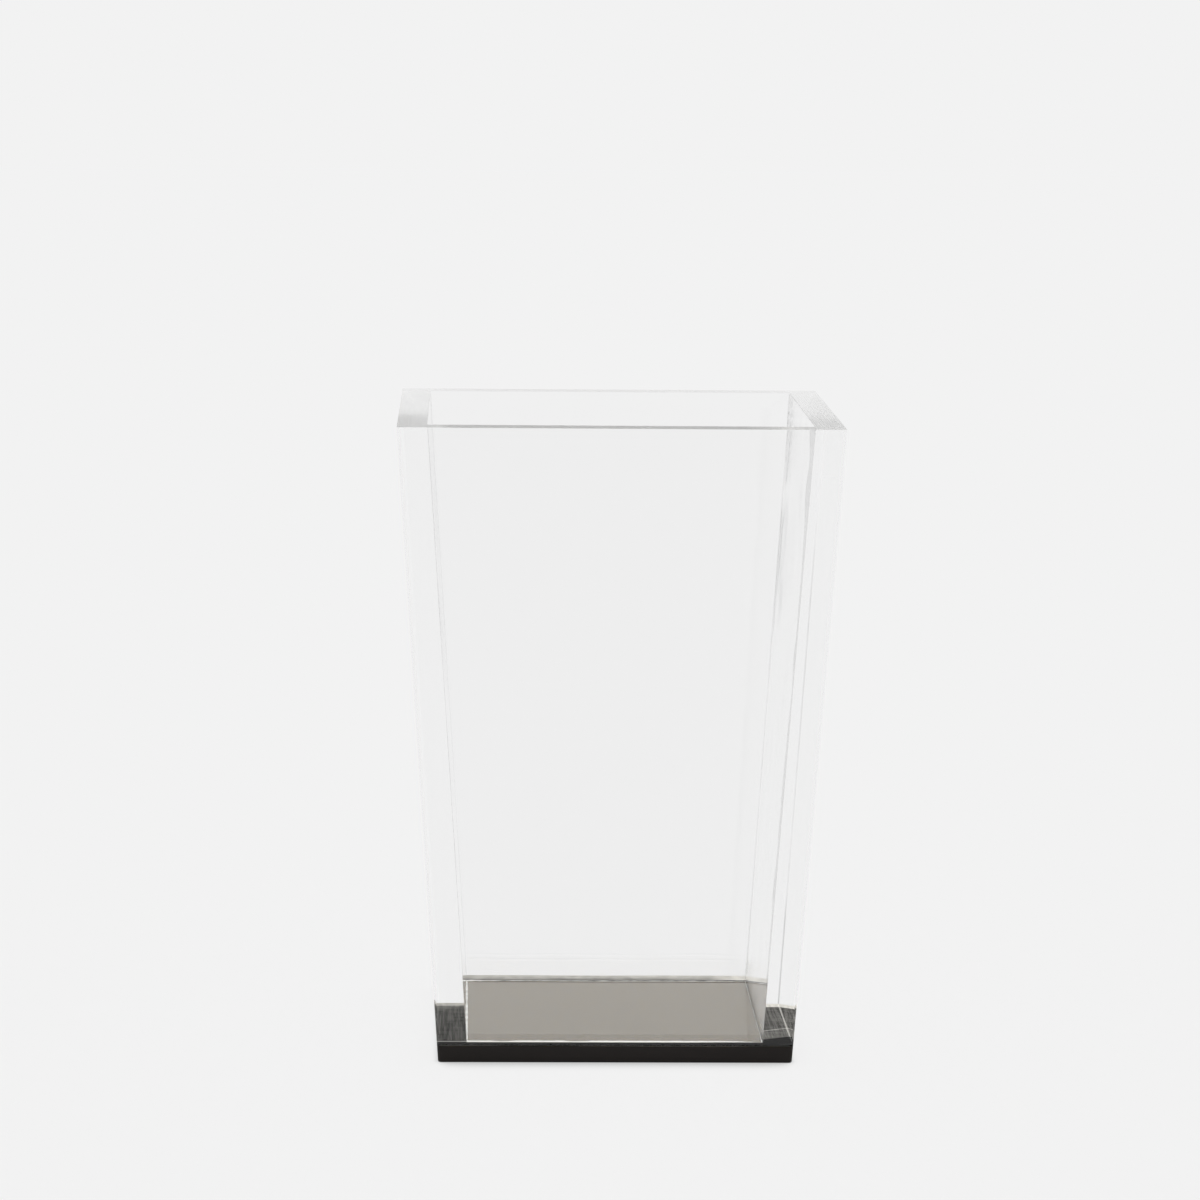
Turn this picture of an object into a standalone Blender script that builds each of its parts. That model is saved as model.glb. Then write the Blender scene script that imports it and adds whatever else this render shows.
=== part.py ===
"""Tapered brush holder: four mitred clear acrylic walls cemented onto a black acrylic base plate.

All lengths are in metres. The holder stands on z = 0 with its axis on Z, its front toward -Y
and its right side toward +X. Four equal panels of clear sheet lean outward. Their side edges
are mitred, so the joint at each corner shows only as a thin diagonal line across the rim. The
walls stand on a black plate whose edges carry on the slope of their outer faces. A film of
clear cement fills the joint at each corner and the joint between the walls and the plate.
"""

import math

import bmesh
import bpy
from mathutils import Matrix, Vector

# Overall sizes, measured across the outer faces
TOP_WIDTH = 0.082
BOTTOM_WIDTH = 0.066
HEIGHT = 0.1195

# Sheet thicknesses
WALL = 0.0055
BASE_THICKNESS = 0.0031

# Cement films, and the clearance that each face of a film keeps to the sheet beside it
BOND_THICKNESS = 0.0002
BOND_CLEARANCE = 0.00005

# Polished edges: width of the arris on each sheet edge, and of the flat on a mitred corner
RIM_ARRIS = 0.0003
BASE_ARRIS = 0.0003
CORNER_FLAT = 0.0005

# How far a sheet blank overhangs each of its saw cuts
SAW_OVERRUN = 0.005

ARRIS_SEGMENTS = 2
SIDES = 4

# Slope of the outer faces, and what follows from it
FLARE = (TOP_WIDTH - BOTTOM_WIDTH) / 2 / HEIGHT
LEAN = math.atan(FLARE)
LEVEL_WALL = WALL / math.cos(LEAN)
JOINT_GAP = BOND_THICKNESS + 2 * BOND_CLEARANCE
WALL_FOOT = BASE_THICKNESS + JOINT_GAP

UP = Vector((0, 0, 1))
FRONT = Vector((0, -1, 0))
RIGHT = Vector((1, 0, 0))
FRONT_RIGHT = (FRONT + RIGHT).normalized()
FRONT_LEFT = (FRONT - RIGHT).normalized()

# Colour, roughness, transmission and refractive index of each material
CLEAR_ACRYLIC = ("clear_acrylic", (0.93, 0.95, 0.95, 1.0), 0.02, 1.0, 1.49)
BLACK_ACRYLIC = ("black_acrylic", (0.012, 0.012, 0.014, 1.0), 0.06, 0.0, 1.49)
CLEAR_CEMENT = ("clear_cement", (0.86, 0.87, 0.86, 1.0), 0.25, 0.8, 1.49)


def outer_half_width(z):
    """Distance from the axis to an outer face at height z."""
    return BOTTOM_WIDTH / 2 + FLARE * z


def inner_half_width(z):
    """Distance from the axis to an inner face at height z."""
    return outer_half_width(z) - LEVEL_WALL


def clear_scene():
    for thing in list(bpy.data.objects):
        bpy.data.objects.remove(thing, do_unlink=True)


def make_material(spec):
    name, colour, roughness, transmission, index = spec
    material = bpy.data.materials.new(name)
    material.use_nodes = True
    shader = material.node_tree.nodes["Principled BSDF"]
    shader.inputs["Base Color"].default_value = colour
    shader.inputs["Roughness"].default_value = roughness
    shader.inputs["Metallic"].default_value = 0.0
    shader.inputs["Transmission Weight"].default_value = transmission
    shader.inputs["IOR"].default_value = index
    return material


def finish_mesh(bm, name, material):
    """Turns a bmesh into a mesh with its faces pointing out."""
    bmesh.ops.recalc_face_normals(bm, faces=bm.faces)
    mesh = bpy.data.meshes.new(name)
    bm.to_mesh(mesh)
    bm.free()
    mesh.materials.append(material)
    return mesh


def place(name, mesh, parent, turn=0.0):
    """Adds one named piece, turned about the holder's axis."""
    piece = bpy.data.objects.new(name, mesh)
    piece.rotation_euler.z = turn
    piece.parent = parent
    parent.users_collection[0].objects.link(piece)
    return piece


def add_arris(piece, width):
    """Rounds the edges that the mesh marks with a bevel weight."""
    bevel = piece.modifiers.new("polished_arris", "BEVEL")
    bevel.limit_method = "WEIGHT"
    bevel.offset_type = "OFFSET"
    bevel.width = width
    bevel.segments = ARRIS_SEGMENTS
    bevel.use_clamp_overlap = True


def mark_edges(bm, wanted):
    """Gives full bevel weight to each edge for which wanted(edge) is true."""
    weight = bm.edges.layers.float.new("bevel_weight_edge")
    for edge in bm.edges:
        edge[weight] = 1.0 if wanted(edge) else 0.0


def sheet_blank(width, thickness, length):
    """An upright rectangle of sheet, centred on the origin, with its thickness along Y."""
    bm = bmesh.new()
    size = Matrix.Diagonal((width, thickness, length, 1.0))
    bmesh.ops.create_cube(bm, size=1.0, matrix=size)
    return bm


def saw(bm, point, outward):
    """Cuts off what lies beyond a plane and closes the cut."""
    geometry = bm.verts[:] + bm.edges[:] + bm.faces[:]
    bmesh.ops.bisect_plane(bm, geom=geometry, plane_co=point, plane_no=outward, clear_outer=True)
    open_edges = [edge for edge in bm.edges if edge.is_boundary]
    bmesh.ops.edgeloop_fill(bm, edges=open_edges)


def corner_point(direction, half_width, z):
    """The point at height z on the corner edge that lies in a diagonal direction."""
    return direction * half_width * math.sqrt(2) + UP * z


def saw_corner_flat(bm, direction):
    """Takes the sharp edge off an outer corner, along its whole slope."""
    outward = (direction - UP * FLARE * math.sqrt(2)).normalized()
    edge = corner_point(direction, outer_half_width(0), 0)
    saw(bm, edge - outward * CORNER_FLAT / 2, outward)


def wall_mesh(material):
    """The front panel: a leaning sheet with mitred sides, cut level at its foot and its rim."""
    slant = (HEIGHT - WALL_FOOT) / math.cos(LEAN)
    width = TOP_WIDTH + 2 * SAW_OVERRUN
    bm = sheet_blank(width, WALL, slant + 2 * SAW_OVERRUN)
    middle_height = (HEIGHT + WALL_FOOT) / 2
    middle_depth = outer_half_width(middle_height) - LEVEL_WALL / 2
    lean = Matrix.Rotation(LEAN, 4, RIGHT)
    centre = Matrix.Translation(FRONT * middle_depth + UP * middle_height)
    bmesh.ops.transform(bm, matrix=centre @ lean, verts=bm.verts)

    saw(bm, UP * WALL_FOOT, -UP)
    saw(bm, UP * HEIGHT, UP)
    for corner, mitre in ((FRONT_RIGHT, -FRONT_LEFT), (FRONT_LEFT, -FRONT_RIGHT)):
        saw(bm, -mitre * JOINT_GAP / 2, mitre)
        saw_corner_flat(bm, corner)

    def on_rim(edge):
        level = all(math.isclose(v.co.z, HEIGHT, abs_tol=RIM_ARRIS / 2) for v in edge.verts)
        return level and edge.calc_length() > WALL * 2

    mark_edges(bm, on_rim)
    return finish_mesh(bm, "wall", material)


def corner_bond_mesh(material):
    """The film in the front right mitre, from the inner corner to the flat on the outer one."""
    length = HEIGHT - WALL_FOOT
    bm = sheet_blank(TOP_WIDTH, BOND_THICKNESS, length + 2 * SAW_OVERRUN)
    along = Matrix.Rotation(FRONT_RIGHT.xy.angle_signed(RIGHT.xy), 4, UP)
    middle_height = (HEIGHT + WALL_FOOT) / 2
    centre = corner_point(FRONT_RIGHT, outer_half_width(middle_height), middle_height)
    bmesh.ops.transform(bm, matrix=Matrix.Translation(centre) @ along, verts=bm.verts)

    saw(bm, UP * WALL_FOOT, -UP)
    saw(bm, UP * (HEIGHT - RIM_ARRIS), UP)
    saw_corner_flat(bm, FRONT_RIGHT)
    inward = -(FRONT_RIGHT - UP * FLARE * math.sqrt(2)).normalized()
    saw(bm, corner_point(FRONT_RIGHT, inner_half_width(0), 0), inward)
    return finish_mesh(bm, "corner_bond", material)


def square_frustum(low_half, high_half, low_z, high_z):
    """A four-sided block with level ends and sloping sides, square to the axes."""
    bm = bmesh.new()
    turn = Matrix.Rotation(math.pi / SIDES, 4, UP)
    middle = Matrix.Translation(UP * (low_z + high_z) / 2)
    bmesh.ops.create_cone(
        bm,
        cap_ends=True,
        segments=SIDES,
        radius1=low_half * math.sqrt(2),
        radius2=high_half * math.sqrt(2),
        depth=high_z - low_z,
        matrix=middle @ turn,
    )
    return bm


def base_mesh(material):
    """The plate under the walls, with its edges on the slope of their outer faces."""
    bm = square_frustum(outer_half_width(0), outer_half_width(BASE_THICKNESS), 0, BASE_THICKNESS)
    for direction in (FRONT_RIGHT, FRONT_LEFT, -FRONT_RIGHT, -FRONT_LEFT):
        saw_corner_flat(bm, direction)
    mark_edges(bm, lambda edge: all(v.co.z < BASE_THICKNESS / 2 for v in edge.verts))
    return finish_mesh(bm, "base_plate", material)


def base_bond_mesh(material):
    """The film between the plate and the feet of the walls, a flat ring as wide as the walls."""
    low = BASE_THICKNESS + BOND_CLEARANCE
    high = low + BOND_THICKNESS
    bm = square_frustum(outer_half_width(low), outer_half_width(high), low, high)
    for direction in (FRONT_RIGHT, FRONT_LEFT, -FRONT_RIGHT, -FRONT_LEFT):
        saw_corner_flat(bm, direction)
    return finish_mesh(bm, "base_bond", material)


def hollow_out(piece, cutter):
    cut = piece.modifiers.new("open_middle", "BOOLEAN")
    cut.operation = "DIFFERENCE"
    cut.object = cutter


def well_cutter(collection, material):
    """The open inside of the walls, from below the film to above it."""
    low = BASE_THICKNESS - JOINT_GAP
    high = WALL_FOOT + JOINT_GAP
    bm = square_frustum(inner_half_width(low), inner_half_width(high), low, high)
    cutter = bpy.data.objects.new("well_cutter", finish_mesh(bm, "well_cutter", material))
    cutter.hide_render = True
    cutter.display_type = "WIRE"
    collection.objects.link(cutter)
    return cutter


def build():
    clear_scene()
    parts = bpy.data.collections.new("brush_holder")
    cutters = bpy.data.collections.new("cutters")
    for collection in (parts, cutters):
        bpy.context.scene.collection.children.link(collection)
    axis = bpy.data.objects.new("holder_axis", None)
    parts.objects.link(axis)

    clear = make_material(CLEAR_ACRYLIC)
    black = make_material(BLACK_ACRYLIC)
    cement = make_material(CLEAR_CEMENT)

    wall = wall_mesh(clear)
    corner_bond = corner_bond_mesh(cement)
    sides = ("front", "right", "back", "left")
    corners = ("front_right", "back_right", "back_left", "front_left")
    for index, (side, corner) in enumerate(zip(sides, corners)):
        turn = math.tau * index / SIDES
        add_arris(place(f"{side}_wall", wall, axis, turn), RIM_ARRIS)
        place(f"corner_bond_{corner}", corner_bond, axis, turn)

    add_arris(place("base_plate", base_mesh(black), axis), BASE_ARRIS)
    base_bond = place("base_bond", base_bond_mesh(cement), axis)
    hollow_out(base_bond, well_cutter(cutters, cement))


build()
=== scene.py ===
"""Looks of the brush holder: clear acrylic walls on a glossy black base, in a pale studio.

Everything is in metres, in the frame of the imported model: the holder stands on z = 0 with its
axis on Z and its front toward -Y. Each wall is shown by a copy of its own solid whose mitres
close on the cement between them, because light runs through a cured joint as if it were solid.
"""

import math
import random

import bmesh
import bpy
from mathutils import Matrix, Vector


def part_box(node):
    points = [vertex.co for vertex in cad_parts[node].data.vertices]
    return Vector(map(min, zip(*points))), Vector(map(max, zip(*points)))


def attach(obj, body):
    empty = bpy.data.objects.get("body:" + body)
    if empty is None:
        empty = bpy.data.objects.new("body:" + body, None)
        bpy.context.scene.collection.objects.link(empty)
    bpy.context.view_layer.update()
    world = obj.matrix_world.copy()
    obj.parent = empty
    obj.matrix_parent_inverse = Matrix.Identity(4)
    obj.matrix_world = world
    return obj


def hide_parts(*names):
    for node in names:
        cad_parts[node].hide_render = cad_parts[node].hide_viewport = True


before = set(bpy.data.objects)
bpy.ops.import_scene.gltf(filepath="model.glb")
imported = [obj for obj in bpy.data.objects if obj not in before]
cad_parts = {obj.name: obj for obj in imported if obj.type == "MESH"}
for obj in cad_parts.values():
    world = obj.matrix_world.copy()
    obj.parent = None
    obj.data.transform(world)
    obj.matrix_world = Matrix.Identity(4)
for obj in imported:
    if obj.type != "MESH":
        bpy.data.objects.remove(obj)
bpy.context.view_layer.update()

# Camera, fitted to the photograph's outline, rim and floor corners
CAMERA_PLACE = Vector((-0.0283, -0.9068, 0.2016))
CAMERA_YAW = math.radians(1.621)
CAMERA_TILT = math.radians(7.467)
CAMERA_ROLL = math.radians(0.5)
FOCAL_PIXELS = 4788.0
PHOTO_PIXELS = 1200.0
SENSOR = 36.0
NEAREST = 0.01

# Enough bounces for light that runs along inside the sheets
BOUNCES = 32

# The studio: backdrop and floor as the picture shows them, and the light that falls on the object
BACKDROP = (0.888, 0.888, 0.888, 1.0)
STUDIO_LIGHT = (1.0, 1.0, 1.0, 1.0)
FLOOR_SIDE = 8.0
FLOOR_DROP = 0.00002
FLOOR_GLOW = 0.92

# Contact shadow: its reach and depth beside the base and in front of it, and how it falls off
CONTACT_REACH = (0.0015, 0.008)
CONTACT_DEPTH = (0.9, 1.5)
CONTACT_FALLOFF = 2.0
CONTACT_SAMPLES = 16

# How softly the shadow in front starts, and where it fades inside and outside the base's corners
CONTACT_SOFTNESS = 0.0005
CONTACT_INSIDE = 0.002
CONTACT_OUTSIDE = 0.001

CORNERS = ("front_right", "back_right", "back_left", "front_left")
SIDES = ("front", "right", "back", "left")

# Heights and half widths that the cement follows, read from the solids
FLOOR_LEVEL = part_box("base_plate")[1].z
FOOT_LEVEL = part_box("front_wall")[0].z
RIM_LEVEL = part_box("front_wall")[1].z
FOOT_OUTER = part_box("base_plate")[1].x
FOOT_INNER = -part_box("front_wall")[1].y
FLARE = (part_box("right_wall")[1].x - FOOT_OUTER) / (RIM_LEVEL - FLOOR_LEVEL)
RIM_INNER = FOOT_INNER + FLARE * (RIM_LEVEL - FOOT_LEVEL)

# Vertices of a solid that lie closer than this are one
WELD = 0.000002

# Largest difference between |x| and |y| on a mitred face, and the depth that parts its two edges
MITRE_CLEARANCE = 0.00025
WALL_MIDDLE = (FOOT_OUTER - FOOT_INNER) / 2

# How far the closed corner flats stand clear of the end of the cement between them
FLAT_LIFT = 0.000005

# Finishes of a wall's faces, in the order of its material slots
POLISHED, CEMENTED, RIM, SHADED_CORNER = range(4)

# How far a face's normal points up or down, at the least, on a level face and on the rim
LEVEL_SHARE = 0.9
RIM_SHARE = 0.3

# Largest difference between |x| and |y| in the normal of a mitre or a corner flat
DIAGONAL_SLACK = 0.1

# A noise becomes marks between these two of its values
MARK_LIMITS = (0.3, 0.7)

# Clear sheet, with its smears and its slow wave. All waves are counted to the metre.
ACRYLIC_INDEX = 1.49
ACRYLIC_TINT = (0.981, 0.981, 0.981, 1.0)
SMEAR_WAVES = 130.0
SMEAR_DETAIL = 4.0
SMEAR_LIMITS = (0.5, 0.85)
SMEAR_ROUGHNESS = 0.02
SLOW_WAVES = 55.0
SLOW_WAVE_DETAIL = 1.0
SLOW_WAVE_SEED = 4.0
SLOW_WAVE_HEIGHT = 0.00002

# Rim: its saw marks, as waves across and along a wall and a seed, and the wear of two walls
RIM_TINT = (0.90, 0.90, 0.895, 1.0)
RIM_MARKS = (4200.0, 60.0, 2.0)
RIM_MARK_HEIGHT = 0.000002
RIM_ROUGHNESS = (0.18, 0.25)
RIGHT_WEAR = 0.06
BACK_WEAR = 0.22
WEAR_SOFTNESS = 0.0005

# Painted shade on the back right corner flat, darkest near the foot: two heights and the light
# that passes it at each, what that gains and loses further up, the heights between which the shade
# ends, and its edge across the flat
CORNER_SHADE_FOOT = (0.003, 0.010, 0.67, 0.73)
CORNER_SHADE_GAIN = (0.019, 0.028, 0.0, 0.18)
CORNER_SHADE_LOSS = (0.040, 0.060, 0.0, 0.06)
CORNER_SHADE_END = (0.085, 0.103)
CORNER_SHADE_EDGE = (0.00002, 0.0001)
CORNER_SHADE_WAVES = 300.0
CORNER_SHADE_GRAIN = (0.97, 1.03)

# Cement in the mitres: the light that passes it, and what passes its strings at two heights
MITRE_LIGHT = 0.997
STRING_LIGHT = (0.02, 0.06, 0.986, 0.993)
STRING_WAVES = (2600.0, 2600.0, 45.0)
STRING_LIMITS = (0.50, 0.75)

# Black plate: polished top with a warm bloom, and scraped edges
BASE_COLOUR = (0.020, 0.015, 0.009, 1.0)
BASE_EVEN_ROUGHNESS = 0.03
BASE_ROUGHNESS = (0.02, 0.07)
BASE_SMEAR_WAVES = 180.0
BASE_SMEAR_DETAIL = 4.0
BASE_SMEAR_LIMITS = (0.45, 0.8)
BASE_SLOW_WAVES = 70.0
BASE_SLOW_WAVE_DETAIL = 1.0
BASE_SLOW_WAVE_HEIGHT = 0.00001
BLOOM = 0.2
BLOOM_ROUGHNESS = 0.35
BLOOM_TINT = (1.0, 0.67, 0.08, 1.0)
EDGE_COLOUR = (0.008, 0.006, 0.005, 1.0)
EDGE_EVEN_ROUGHNESS = 0.12
EDGE_ROUGHNESS = (0.10, 0.24)
EDGE_SPECULAR = 0.17
EDGE_WAVES = (70.0, 70.0, 3500.0)
EDGE_MARK_HEIGHT = 0.000001

# Cement squeezed out along the inner foot of each wall: its reach inward and its height
BEADS = {
    "front": (0.00030, 0.00042),
    "right": (0.00003, 0.00004),
    "back": (0.00006, 0.00010),
    "left": (0.00020, 0.00033),
}
BEAD_STEP = 0.0004
BEAD_LIFT = 0.00002
BEAD_ARC = 5
BEAD_FULLNESS = 1.3

# How the bead varies: its least size, the shares of a side between which it grows toward the
# middle, its swells, and how much of it the ripples take away. Both are waves round the holder.
BEAD_LEAST = 0.5
BEAD_MIDDLE_SHARES = (0.02, 0.30)
BEAD_SWELLS = range(3, 30, 2)
BEAD_SWELL_SEED = 12
BEAD_RIPPLES = range(40, 190, 11)
BEAD_RIPPLE_SEED = 5
BEAD_RIPPLE_DEPTHS = {"front": 0.15, "right": 0.3, "back": 0.7, "left": 0.75}

# Share of a side, at each end, over which the bead takes on the size of the next side's
CORNER_SHARE = 0.12

# The bead's glow stands for light that the sheets carry down to it
BEAD_COLOUR = (0.97, 0.97, 0.95, 1.0)
BEAD_GLOW_COLOUR = (1.0, 1.0, 0.97, 1.0)
BEAD_GLOW = 0.3
BEAD_EVEN_ROUGHNESS = 0.3
BEAD_ROUGHNESS = (0.18, 0.45)
BEAD_WAVES = 1400.0
BEAD_BUMP_WAVES = 2500.0
BEAD_BUMP_DETAIL = 3.0
BEAD_BUMP_HEIGHT = 0.00003

# Cement in the inner corners: its width, how much wider it gets at the foot and the rim, the
# least share of the width that is left where it wanders, and its waves from the floor to the rim
FILLETS = {
    "front_right": (0.00036, 0.1, 1.6),
    "back_right": (0.00006, 1.6, 0.1),
    "back_left": (0.00002, 0.2, 0.8),
    "front_left": (0.00010, 0.2, 0.2),
}
FILLET_LEAST = 0.6
FILLET_SWING = 0.8
FILLET_SWELLS = range(2, 14, 3)
FILLET_SEED = 30
FILLET_STEP = 0.0008
FILLET_MARGIN = BEADS["front"][0]

# The height where the widening at the foot ends, and how far below the rim the other one starts
FOOT_ZONE = 0.022
RIM_ZONE = 0.024

# Its grey is painted shade, the faint dark lines along the inner corners, and it covers only a
# little of what lies behind it
FILLET_COLOUR = (0.30, 0.29, 0.28, 1.0)
FILLET_GREYS = (0.22, 0.4)
FILLET_WAVES = 700.0
FILLET_ROUGHNESS = 0.4
FILLET_COVER = 0.13

# A wandering curve is made of sines, whose sizes lie between these before they are evened out
SINE_SIZES = (0.4, 1.0)

# Cement under the walls: its even colour, the cast of its greys, the least grey, and those of the
# film's edges
# Its greys are painted reflection where the cement is dry, over the real pattern of its streaks.
FOOT_COLOUR = (0.05, 0.05, 0.04, 1.0)
FOOT_CAST = (1.03, 1.0, 0.92)
FOOT_LEAST_GREY = 0.003
FILM_EDGE_GREYS = (0.03, 0.05)
FILM_EDGE_SHARE = 0.5
FOOT_SOFTNESS = 0.0002

# Its streaks: waves across and along a wall, a seed and, for the long ones, their detail
LONG_STREAKS = (1100.0, 30.0, 0.3, 2.0)
FINE_STREAKS = (3300.0, 60.0, 5.3)
CROSS_STREAKS = (160.0, 420.0, 8.1)
STREAK_LIMITS = (0.35, 0.65)
LONG_SHARE = 0.25
FINE_SHARE = 0.45
CROSS_SHARE = 0.3

# Under the right wall, distances are measured behind a line that slants and wavers. Dry streaks
# start there, a little lighter as far as a light line, and a light strip follows the outer edge.
# The light line and the light strip are painted highlights.
SLANT = 0.94
WAVER_WAVES = 900.0
WAVER_SEED = (3.0, 1.0)
WAVER_SWING = 0.0014
DRY_START = (-0.0245, -0.0235)
BAND_END = (-0.0112, -0.0108)
BAND_GREY = 0.03
RIGHT_LINE_HALF = 0.0003
RIGHT_LINE_GREY = 0.36
RIGHT_STRIP = (0.0002, 0.0001)
RIGHT_STRIP_GREY = 0.32
RIGHT_GREY = 0.025
RIGHT_GRAIN = 0.20

# Under the left wall the streaks get lighter from a place behind the middle to the back, and a
# light line runs where the front wall starts
# The lighter greys are painted reflection, and the light line is a painted highlight.
LEFT_GRAIN = 0.14
LEFT_MIDDLE = 0.019
LEFT_GREYS = (0.076, 0.145)
LEFT_LINE_INSET = 0.0001
LEFT_LINE_HALF = 0.00035
LEFT_LINE_SOFTNESS = 0.0001
LEFT_LINE_GREY = 0.45

# Under the front wall a light strip lies along the inside, weaker to the right
# The light strip is a painted highlight.
FRONT_STRIP = (0.0013, 0.0008)
FRONT_STRIP_GREY = 0.8
FRONT_STRIP_FADE = (0.012, 0.022, 1.0, 0.35)

# Under the back wall the cement is light, more so outward and at its right end
# This light is painted reflection.
BACK_DEPTH = 0.004
BACK_GREYS = (0.32, 0.6)
BACK_END_START = 0.02
BACK_END_GREY = 0.9
BACK_GRAIN = 0.4


class Nodes:
    """Short forms for building a node tree."""

    def __init__(self, tree):
        self.tree = tree

    def add(self, kind, **settings):
        node = self.tree.nodes.new(kind)
        for name, value in settings.items():
            setattr(node, name, value)
        return node

    def put(self, socket, value):
        """Links a value that comes out of a node, and sets any other."""
        if isinstance(value, bpy.types.NodeSocket):
            self.tree.links.new(value, socket)
        else:
            socket.default_value = value

    def math(self, operation, first, second=0.0, clamp=False):
        node = self.add("ShaderNodeMath", operation=operation, use_clamp=clamp)
        for socket, value in zip(node.inputs, (first, second)):
            self.put(socket, value)
        return node.outputs[0]

    def plus(self, first, second):
        return self.math("ADD", first, second)

    def minus(self, first, second):
        return self.math("SUBTRACT", first, second)

    def times(self, first, second):
        return self.math("MULTIPLY", first, second)

    def either(self, switch, off, on):
        """The first value where switch is 0, the second where it is 1."""
        return self.plus(off, self.times(switch, self.minus(on, off)))

    def ramp(self, value, start, end, low=0.0, high=1.0):
        """Low before start, high after end, smooth between."""
        node = self.add("ShaderNodeMapRange", interpolation_type="SMOOTHSTEP")
        for socket, setting in zip(node.inputs[:5], (value, start, end, low, high)):
            self.put(socket, setting)
        return node.outputs[0]

    def band(self, value, middle, half, soft):
        """1 within half of the middle, falling to 0 over soft."""
        away = self.math("ABSOLUTE", self.minus(value, middle))
        return self.ramp(away, half, half + soft, 1.0, 0.0)

    def place(self):
        """The point's own X, Y and Z."""
        node = self.add("ShaderNodeTexCoord")
        split = self.add("ShaderNodeSeparateXYZ")
        self.tree.links.new(node.outputs["Object"], split.inputs[0])
        return split.outputs

    def noise(self, x, y, z, detail=2.0):
        join = self.add("ShaderNodeCombineXYZ")
        for socket, value in zip(join.inputs, (x, y, z)):
            self.put(socket, value)
        node = self.add("ShaderNodeTexNoise")
        self.tree.links.new(join.outputs[0], node.inputs["Vector"])
        node.inputs["Scale"].default_value = 1.0
        node.inputs["Detail"].default_value = detail
        return node.outputs[0]

    def stretched(self, waves, detail=2.0, seed=0.0):
        """Noise with so many waves along each of X, Y and Z."""
        x, y, z = (self.times(along, count) for along, count in zip(self.place(), waves))
        return self.noise(self.plus(x, seed), y, z, detail)

    def cloud(self, waves, detail=2.0, seed=0.0):
        """Noise with so many waves, alike in all directions."""
        return self.stretched((waves, waves, waves), detail, seed)

    def along_and_across(self):
        """Distances along and across the wall that a point is nearest to, seen from above."""
        x, y = self.place()[:2]
        on_side = self.math("GREATER_THAN", self.math("ABSOLUTE", x), self.math("ABSOLUTE", y))
        return self.either(on_side, x, y), self.either(on_side, y, x)

    def strokes(self, waves_across, waves_along, seed, detail=1.0):
        """Noise drawn out along each wall."""
        along, across = self.along_and_across()
        across = self.times(across, waves_across)
        return self.noise(across, self.times(along, waves_along), seed, detail)

    def marks(self, noise, low=0.0, high=1.0):
        """A noise with more contrast, from low to high."""
        return self.ramp(noise, *MARK_LIMITS, low, high)

    def bump(self, shader, height, distance):
        node = self.add("ShaderNodeBump")
        self.put(node.inputs["Height"], height)
        node.inputs["Distance"].default_value = distance
        self.tree.links.new(node.outputs["Normal"], shader.inputs["Normal"])


def new_material(name):
    material = bpy.data.materials.new(name)
    material.use_nodes = True
    return material, Nodes(material.node_tree), material.node_tree.nodes["Principled BSDF"]


def glass(name, tint):
    material, n, shader = new_material(name)
    shader.inputs["Base Color"].default_value = tint
    shader.inputs["Transmission Weight"].default_value = 1.0
    shader.inputs["IOR"].default_value = ACRYLIC_INDEX
    return material, n, shader


def see_through(name):
    """A face that cement joins to the next sheet: light passes it without bending."""
    material = bpy.data.materials.new(name)
    material.use_nodes = True
    n = Nodes(material.node_tree)
    n.tree.nodes.clear()
    clear = n.add("ShaderNodeBsdfTransparent")
    out = n.add("ShaderNodeOutputMaterial")
    n.put(out.inputs["Surface"], clear.outputs[0])
    return material, n, clear


def plain(name, colour, roughness, specular=0.5):
    """A surface with even values, which stand in for a pattern where none is drawn."""
    material, n, shader = new_material(name)
    shader.inputs["Base Color"].default_value = colour
    shader.inputs["Roughness"].default_value = roughness
    shader.inputs["Specular IOR Level"].default_value = specular
    shader.inputs["IOR"].default_value = ACRYLIC_INDEX
    return material, n, shader


def add_camera():
    data = bpy.data.cameras.new("camera")
    data.sensor_width = SENSOR
    data.lens = SENSOR * FOCAL_PIXELS / PHOTO_PIXELS
    data.clip_start = NEAREST
    camera = bpy.data.objects.new("camera", data)
    turn = Matrix.Rotation(-CAMERA_YAW, 4, "Z")
    tilt = Matrix.Rotation(math.pi / 2 - CAMERA_TILT, 4, "X")
    roll = Matrix.Rotation(CAMERA_ROLL, 4, "Z")
    camera.matrix_world = Matrix.Translation(CAMERA_PLACE) @ turn @ tilt @ roll
    bpy.context.scene.collection.objects.link(camera)
    bpy.context.scene.camera = camera


def seen_ray(n):
    """1 for a ray from the camera, mirrored or bent on its way, and 0 after a matt surface."""
    path = n.add("ShaderNodeLightPath")
    seen = n.math("MAXIMUM", path.outputs["Is Camera Ray"], path.outputs["Is Glossy Ray"])
    seen = n.math("MAXIMUM", seen, path.outputs["Is Transmission Ray"])
    return n.math("SUBTRACT", seen, path.outputs["Diffuse Depth"], clamp=True)


def add_world():
    """An even studio. A path that has touched nothing matt sees the backdrop's own colour."""
    world = bpy.data.worlds.new("studio")
    bpy.context.scene.world = world
    world.use_nodes = True
    n = Nodes(world.node_tree)
    n.tree.nodes.clear()
    shown = n.add("ShaderNodeBackground")
    shown.inputs["Color"].default_value = BACKDROP
    lit = n.add("ShaderNodeBackground")
    lit.inputs["Color"].default_value = STUDIO_LIGHT
    mix = n.add("ShaderNodeMixShader")
    n.put(mix.inputs[0], seen_ray(n))
    n.put(mix.inputs[1], lit.outputs[0])
    n.put(mix.inputs[2], shown.outputs[0])
    out = n.add("ShaderNodeOutputWorld")
    n.put(out.inputs["Surface"], mix.outputs[0])


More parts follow.
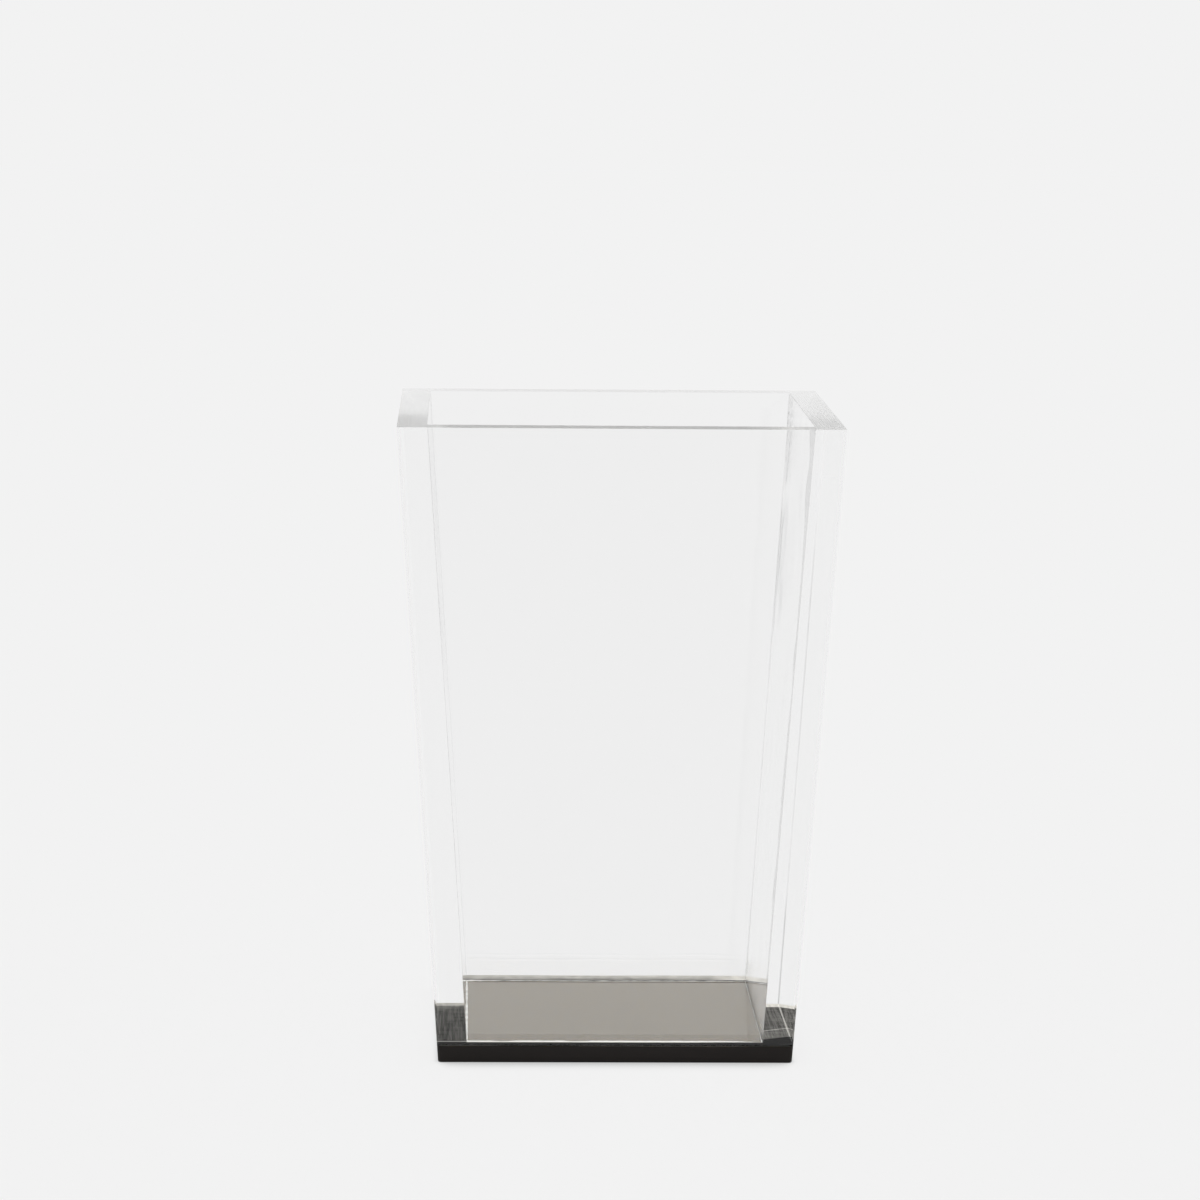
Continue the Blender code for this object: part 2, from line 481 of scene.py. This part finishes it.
def contact_shade(n):
    """How much the contact shadow takes from the floor's own colour."""
    x, y = n.place()[:2]
    in_front = n.ramp(y, -FOOT_OUTER - CONTACT_SOFTNESS, -FOOT_OUTER + CONTACT_SOFTNESS, 1.0, 0.0)
    beside = n.math("ABSOLUTE", x)
    aside = n.ramp(beside, FOOT_OUTER - CONTACT_INSIDE, FOOT_OUTER + CONTACT_OUTSIDE)
    in_front = n.times(in_front, n.minus(1.0, aside))
    closeness = n.add("ShaderNodeAmbientOcclusion", samples=CONTACT_SAMPLES)
    n.put(closeness.inputs["Distance"], n.either(in_front, *CONTACT_REACH))
    hidden = n.math("POWER", n.minus(1.0, closeness.outputs["AO"]), CONTACT_FALLOFF)
    return n.times(hidden, n.either(in_front, *CONTACT_DEPTH))


def add_floor():
    """Pale paper, which the camera sees mostly in its own colour, so its shadow stays slight."""
    bpy.ops.mesh.primitive_plane_add(size=FLOOR_SIDE, location=(0, 0, -FLOOR_DROP))
    floor = bpy.context.object
    floor.name = "floor"
    material, n, shader = new_material("floor_paper")
    shader.inputs["Base Color"].default_value = BACKDROP
    shader.inputs["Roughness"].default_value = 1.0
    shader.inputs["Specular IOR Level"].default_value = 0.0
    own = n.add("ShaderNodeEmission")
    own.inputs["Color"].default_value = BACKDROP
    n.put(own.inputs["Strength"], n.math("SUBTRACT", 1.0, contact_shade(n), clamp=True))
    mix = n.add("ShaderNodeMixShader")
    n.put(mix.inputs[0], n.times(seen_ray(n), FLOOR_GLOW))
    n.put(mix.inputs[1], shader.outputs[0])
    n.put(mix.inputs[2], own.outputs[0])
    n.put(n.tree.nodes["Material Output"].inputs["Surface"], mix.outputs[0])
    floor.data.materials.append(material)


def clear_acrylic():
    """Cast sheet: all but mirror smooth, with a slow wave and a few wiped smears."""
    material, n, shader = glass("clear_acrylic", ACRYLIC_TINT)
    smears = n.ramp(n.cloud(SMEAR_WAVES, SMEAR_DETAIL), *SMEAR_LIMITS)
    n.put(shader.inputs["Roughness"], n.times(smears, SMEAR_ROUGHNESS))
    n.bump(shader, n.cloud(SLOW_WAVES, SLOW_WAVE_DETAIL, SLOW_WAVE_SEED), SLOW_WAVE_HEIGHT)
    return material


def rim_acrylic():
    """The level edge: sawn, then polished, with the marks still running along it."""
    material, n, shader = glass("clear_acrylic_rim", RIM_TINT)
    marks = n.strokes(*RIM_MARKS)
    x, y = n.place()[:2]
    start, end = RIM_INNER - WEAR_SOFTNESS, RIM_INNER + WEAR_SOFTNESS
    right = n.ramp(x, start, end, 0.0, RIGHT_WEAR)
    back = n.ramp(y, start, end, 0.0, BACK_WEAR)
    worn = n.math("MAXIMUM", right, back)
    n.put(shader.inputs["Roughness"], n.plus(n.marks(marks, *RIM_ROUGHNESS), worn))
    n.bump(shader, marks, RIM_MARK_HEIGHT)
    return material


def corner_acrylic():
    """The scraped flat on the back right corner, with painted shade on the right wall's side that
    is darkest near the foot.
    """
    material, n, clear = see_through("clear_acrylic_corner")
    x, y, height = n.place()
    tint = n.plus(n.ramp(height, *CORNER_SHADE_FOOT), n.ramp(height, *CORNER_SHADE_GAIN))
    tint = n.minus(tint, n.ramp(height, *CORNER_SHADE_LOSS))
    tint = n.either(n.ramp(height, *CORNER_SHADE_END), tint, 1.0)
    grain = n.marks(n.cloud(CORNER_SHADE_WAVES), *CORNER_SHADE_GRAIN)
    shaded_side = n.ramp(n.minus(x, y), *CORNER_SHADE_EDGE)
    shaded_tint = n.math("MULTIPLY", tint, grain, clamp=True)
    n.put(clear.inputs["Color"], n.either(shaded_side, 1.0, shaded_tint))
    return material


def corner_cement():
    """Cured cement in a mitre: clear, with fine strings where it did not quite fill the joint."""
    material, n, clear = see_through("cement_in_mitre")
    strings = n.ramp(n.stretched(STRING_WAVES), *STRING_LIMITS)
    height = n.place()[2]
    n.put(clear.inputs["Color"], n.either(strings, MITRE_LIGHT, n.ramp(height, *STRING_LIGHT)))
    return material


def black_acrylic():
    material, n, shader = plain("black_acrylic", BASE_COLOUR, BASE_EVEN_ROUGHNESS)
    smears = n.cloud(BASE_SMEAR_WAVES, BASE_SMEAR_DETAIL)
    n.put(shader.inputs["Roughness"], n.ramp(smears, *BASE_SMEAR_LIMITS, *BASE_ROUGHNESS))
    n.bump(shader, n.cloud(BASE_SLOW_WAVES, BASE_SLOW_WAVE_DETAIL), BASE_SLOW_WAVE_HEIGHT)
    shader.inputs["Sheen Weight"].default_value = BLOOM
    shader.inputs["Sheen Roughness"].default_value = BLOOM_ROUGHNESS
    shader.inputs["Sheen Tint"].default_value = BLOOM_TINT
    return material


def black_acrylic_edge():
    """The plate's edges and underside, with level marks from scraping."""
    material, n, shader = plain(
        "black_acrylic_edge", EDGE_COLOUR, EDGE_EVEN_ROUGHNESS, EDGE_SPECULAR
    )
    marks = n.stretched(EDGE_WAVES)
    n.put(shader.inputs["Roughness"], n.marks(marks, *EDGE_ROUGHNESS))
    n.bump(shader, marks, EDGE_MARK_HEIGHT)
    return material


def bead_cement():
    """White, lumpy cement along the inner foot."""
    material, n, shader = plain("cement_bead", BEAD_COLOUR, BEAD_EVEN_ROUGHNESS)
    shader.inputs["Emission Color"].default_value = BEAD_GLOW_COLOUR
    shader.inputs["Emission Strength"].default_value = BEAD_GLOW
    n.put(shader.inputs["Roughness"], n.marks(n.cloud(BEAD_WAVES), *BEAD_ROUGHNESS))
    n.bump(shader, n.cloud(BEAD_BUMP_WAVES, BEAD_BUMP_DETAIL), BEAD_BUMP_HEIGHT)
    return material


def fillet_cement_and_shade():
    """A grey, mostly clear skin of cement in the inner corners, whose grey is painted shade along
    them.
    """
    material, n, shader = plain("cement_fillet_painted_shade", FILLET_COLOUR, FILLET_ROUGHNESS)
    shader.inputs["Alpha"].default_value = FILLET_COVER
    n.put(shader.inputs["Base Color"], n.marks(n.cloud(FILLET_WAVES), *FILLET_GREYS))
    return material


def right_foot(n, x, y, grain):
    """Grey of the cement under the right wall."""
    slant = n.minus(y, n.times(n.minus(x, FOOT_INNER), SLANT))
    waver = n.minus(n.noise(n.times(x, WAVER_WAVES), *WAVER_SEED), 0.5)
    behind = n.plus(slant, n.times(waver, WAVER_SWING))
    dry = n.ramp(behind, *DRY_START)
    band = n.times(n.minus(dry, n.ramp(behind, *BAND_END)), BAND_GREY)
    line = n.band(behind, BAND_END[0], RIGHT_LINE_HALF, RIGHT_LINE_HALF)
    line = n.times(line, RIGHT_LINE_GREY)
    strip = n.ramp(x, *(FOOT_OUTER - inset for inset in RIGHT_STRIP))
    strip = n.times(strip, RIGHT_STRIP_GREY)
    grey = n.plus(n.times(grain, RIGHT_GRAIN), RIGHT_GREY)
    return n.times(n.plus(grey, n.plus(band, n.plus(line, strip))), dry)


def left_foot(n, y, grain):
    """Grey of the cement under the left wall."""
    grey = n.times(n.minus(grain, 0.5), LEFT_GRAIN)
    grey = n.plus(grey, n.ramp(y, LEFT_MIDDLE, FOOT_INNER, *LEFT_GREYS))
    inside = n.ramp(y, -FOOT_INNER, FOOT_SOFTNESS - FOOT_INNER)
    line = n.band(y, -FOOT_INNER - LEFT_LINE_INSET, LEFT_LINE_HALF, LEFT_LINE_SOFTNESS)
    return n.plus(n.times(grey, inside), n.times(line, LEFT_LINE_GREY))


def front_foot(n, x, y):
    """Grey of the cement under the front wall."""
    strip = n.ramp(y, *(-FOOT_INNER - inset for inset in FRONT_STRIP))
    strip = n.times(strip, FRONT_STRIP_GREY)
    return n.times(strip, n.ramp(x, *FRONT_STRIP_FADE))


def back_foot(n, x, y, grain):
    """Grey of the cement under the back wall."""
    light = n.ramp(y, FOOT_INNER, FOOT_INNER + BACK_DEPTH, *BACK_GREYS)
    light = n.either(n.ramp(x, BACK_END_START, FOOT_INNER), light, BACK_END_GREY)
    return n.plus(light, n.times(n.minus(grain, 0.5), BACK_GRAIN))


def upright_face(n):
    """1 on an upright face, 0 on a level one."""
    normal = n.add("ShaderNodeSeparateXYZ")
    n.put(normal.inputs[0], n.add("ShaderNodeNewGeometry").outputs["Normal"])
    return n.math("LESS_THAN", n.math("ABSOLUTE", normal.outputs[2]), FILM_EDGE_SHARE)


def foot_cement_and_reflection():
    """Cement under the walls: black where it wets both sheets, and where it does not, streaked
    greys that are painted reflection and highlights.
    """
    material, n, shader = plain("cement_under_walls_and_reflection", FOOT_COLOUR, 1.0, 0.0)
    x, y = n.place()[:2]
    streaks = n.marks(n.strokes(*LONG_STREAKS))
    fine = n.ramp(n.strokes(*FINE_STREAKS), *STREAK_LIMITS)
    crossed = n.ramp(n.strokes(*CROSS_STREAKS), *STREAK_LIMITS)
    grain = n.plus(n.times(streaks, LONG_SHARE), n.times(fine, FINE_SHARE))
    grain = n.plus(grain, n.times(crossed, CROSS_SHARE))

    on_right = n.math("GREATER_THAN", x, FOOT_INNER)
    on_left = n.math("LESS_THAN", x, -FOOT_INNER)
    right = n.times(on_right, right_foot(n, x, y, grain))
    left = n.times(on_left, left_foot(n, y, grain))
    between = n.math("SUBTRACT", n.minus(1.0, on_right), on_left, clamp=True)
    grey = n.plus(n.plus(right, left), n.times(front_foot(n, x, y), between))
    behind = n.ramp(y, FOOT_INNER - FOOT_SOFTNESS, FOOT_INNER)
    grey = n.plus(n.either(behind, grey, back_foot(n, x, y, grain)), FOOT_LEAST_GREY)
    grey = n.either(upright_face(n), grey, n.ramp(fine, 0.0, 1.0, *FILM_EDGE_GREYS))

    colour = n.add("ShaderNodeCombineColor")
    for socket, share in zip(colour.inputs, FOOT_CAST):
        n.put(socket, n.times(grey, share))
    n.put(shader.inputs["Base Color"], colour.outputs[0])
    return material


def sheet_copy(node, slots, pick, reshape=None):
    """A welded copy of a solid that stands for it, with a material for each kind of face."""
    bm = bmesh.new()
    bm.from_mesh(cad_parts[node].data)
    bmesh.ops.remove_doubles(bm, verts=bm.verts, dist=WELD)
    if reshape:
        for vertex in bm.verts:
            reshape(vertex)
    for face in bm.faces:
        face.normal_update()
        face.material_index = pick(face)
        face.smooth = False
    mesh = bpy.data.meshes.new(node + "_finish")
    bm.to_mesh(mesh)
    bm.free()
    for material in slots:
        mesh.materials.append(material)
    piece = bpy.data.objects.new(node + "_finish", mesh)
    bpy.context.scene.collection.objects.link(piece)
    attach(piece, "root")
    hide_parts(node)
    return piece


def inner_half_width(z):
    """Distance from the axis to a wall's inner face at a height."""
    return FOOT_INNER + FLARE * (z - FOOT_LEVEL)


def close_mitre(vertex):
    """Moves a vertex of a mitred face onto the diagonal plane, along the face that it bounds."""
    x, y, z = vertex.co
    if abs(abs(x) - abs(y)) < MITRE_CLEARANCE:
        reach = max(abs(x), abs(y))
        if reach > inner_half_width(z) + WALL_MIDDLE:
            reach = (abs(x) + abs(y)) / 2 + FLAT_LIFT
        vertex.co.x = math.copysign(reach, x)
        vertex.co.y = math.copysign(reach, y)


def wall_face(face):
    """Which finish a face of a wall has."""
    normal = face.normal
    centre = face.calc_center_median()
    if normal.z < -LEVEL_SHARE:
        return CEMENTED
    if normal.z > RIM_SHARE:
        return RIM
    if abs(abs(normal.x) - abs(normal.y)) > DIAGONAL_SLACK:
        return POLISHED
    if normal.x * centre.x * normal.y * centre.y < 0:
        return CEMENTED
    if centre.y < 0:
        return POLISHED
    return SHADED_CORNER if centre.x > 0 else CEMENTED


def add_walls():
    joint = see_through("cured_joint")[0]
    slots = (clear_acrylic(), joint, rim_acrylic(), corner_acrylic())
    for side in SIDES:
        piece = sheet_copy(f"{side}_wall", slots, wall_face, close_mitre)


def add_base():
    slots = (black_acrylic(), black_acrylic_edge())
    piece = sheet_copy("base_plate", slots, lambda face: 0 if face.normal.z > LEVEL_SHARE else 1)


def finish_node(name, material):
    """Gives a solid that is shown itself its material."""
    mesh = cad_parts[name].data
    mesh.materials.clear()
    mesh.materials.append(material)


def add_corner_cement():
    cement = corner_cement()
    for corner in CORNERS:
        finish_node(f"corner_bond_{corner}", cement)


def add_foot_cement():
    finish_node("base_bond", foot_cement_and_reflection())


def wander(count, waves, seed):
    """A smooth closed random curve of count values from 0 to 1, made of sines with those waves."""
    draw = random.Random(seed)
    sines = [(k, draw.uniform(0, math.tau), draw.uniform(*SINE_SIZES) / k ** 0.5) for k in waves]
    values = [
        sum(size * math.sin(math.tau * k * i / count + phase) for k, phase, size in sines)
        for i in range(count)
    ]
    low, high = min(values), max(values)
    return [(v - low) / (high - low) for v in values]


def smooth(value, start, end):
    """0 at start, 1 at end, level at both."""
    t = min(1.0, max(0.0, (value - start) / (end - start)))
    return t * t * (3 - 2 * t)


def swept(name, rings, closed):
    """A tube skinned over rings of points, joined end to end or capped."""
    bm = bmesh.new()
    loops = [[bm.verts.new(point) for point in ring] for ring in rings]
    size = len(loops[0])
    pairs = list(zip(loops, loops[1:]))
    if closed:
        pairs.append((loops[-1], loops[0]))
    for first, second in pairs:
        for i in range(size):
            j = (i + 1) % size
            bm.faces.new((first[i], first[j], second[j], second[i]))
    if not closed:
        bm.faces.new(list(reversed(loops[0])))
        bm.faces.new(loops[-1])
    bmesh.ops.recalc_face_normals(bm, faces=bm.faces)
    for face in bm.faces:
        face.smooth = True
    mesh = bpy.data.meshes.new(name)
    bm.to_mesh(mesh)
    bm.free()
    piece = bpy.data.objects.new(name, mesh)
    bpy.context.scene.collection.objects.link(piece)
    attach(piece, "root")
    return piece


def bead_ring(corner, first, second):
    """Section of a bead that fills a corner, with its feet at the ends of two vectors."""
    ring = [corner]
    for step in range(BEAD_ARC):
        angle = math.pi / 2 * step / (BEAD_ARC - 1)
        along_first = math.cos(angle) ** BEAD_FULLNESS
        along_second = abs(math.sin(angle)) ** BEAD_FULLNESS
        ring.append(corner + first * along_first + second * along_second)
    return ring


def bead_size(side, share):
    """Reach and height of the foot bead at a share of a side's length, blended at the corners."""
    here = BEADS[SIDES[side]]
    if share < CORNER_SHARE:
        beside = BEADS[SIDES[side - 1]]
        mix = 0.5 - share / CORNER_SHARE / 2
    elif share > 1 - CORNER_SHARE:
        beside = BEADS[SIDES[(side + 1) % len(SIDES)]]
        mix = 0.5 - (1 - share) / CORNER_SHARE / 2
    else:
        return here
    return tuple(a + (b - a) * mix for a, b in zip(here, beside))


def add_foot_bead():
    half = inner_half_width(FLOOR_LEVEL) - BEAD_LIFT
    level = FLOOR_LEVEL + BEAD_LIFT
    steps = round(2 * half / BEAD_STEP)
    count = steps * len(SIDES)
    ripple = wander(count, BEAD_RIPPLES, BEAD_RIPPLE_SEED)
    swell = wander(count, BEAD_SWELLS, BEAD_SWELL_SEED)
    rings = []
    for index in range(count):
        side, step = divmod(index, steps)
        share = step / steps
        turn = Matrix.Rotation(math.pi / 2 * side, 3, "Z")
        middle = smooth(min(share, 1 - share), *BEAD_MIDDLE_SHARES)
        body = min(1.0, BEAD_LEAST + swell[index] * (1.0 + middle))
        body = body * (1.0 - BEAD_RIPPLE_DEPTHS[SIDES[side]] * ripple[index])
        reach, height = (size * body for size in bead_size(side, share))
        inward = Vector((1, 1, 0)) if step == 0 else Vector((0, 1, 0))
        corner = turn @ Vector((half * (2 * share - 1), -half, level))
        rings.append(bead_ring(corner, turn @ inward * reach, Vector((0, 0, height))))
    piece = swept("foot_bead", rings, True)
    piece.data.materials.append(bead_cement())


def fillet_rings(index, corner):
    """Sections of the cement in one inner corner, from the floor to the rim."""
    low = FLOOR_LEVEL + FILLET_MARGIN
    high = RIM_LEVEL - FILLET_MARGIN
    count = round((high - low) / FILLET_STEP)
    width, at_foot, at_rim = FILLETS[corner]
    turn = Matrix.Rotation(math.pi / 2 * index, 3, "Z")
    ripple = wander(count + 1, FILLET_SWELLS, FILLET_SEED + index)
    rings = []
    for step in range(count + 1):
        z = low + (high - low) * step / count
        half = inner_half_width(z) - BEAD_LIFT
        near_foot = smooth(z, FOOT_ZONE, FLOOR_LEVEL)
        near_rim = smooth(z, high - RIM_ZONE, high)
        grow = at_foot * near_foot + at_rim * near_rim
        size = width * (FILLET_LEAST + FILLET_SWING * ripple[step]) * (1 + grow)
        place = turn @ Vector((half, -half, z))
        inward = turn @ Vector((-size, 0, 0)), turn @ Vector((0, size, 0))
        rings.append(bead_ring(place, *inward))
    return rings


def add_corner_fillets():
    material = fillet_cement_and_shade()
    for index, corner in enumerate(CORNERS):
        piece = swept(f"corner_fillet_{corner}", fillet_rings(index, corner), False)
        piece.data.materials.append(material)


scene = bpy.context.scene
scene.view_settings.view_transform = "Standard"
scene.cycles.max_bounces = BOUNCES
scene.cycles.glossy_bounces = BOUNCES
scene.cycles.transmission_bounces = BOUNCES
scene.cycles.transparent_max_bounces = BOUNCES
# Keeps the sheets clear to light that comes off a matt surface, which blurring would dim
scene.cycles.blur_glossy = 0.0
add_camera()
add_world()
add_floor()
add_walls()
add_corner_cement()
add_base()
add_foot_cement()
add_foot_bead()
add_corner_fillets()
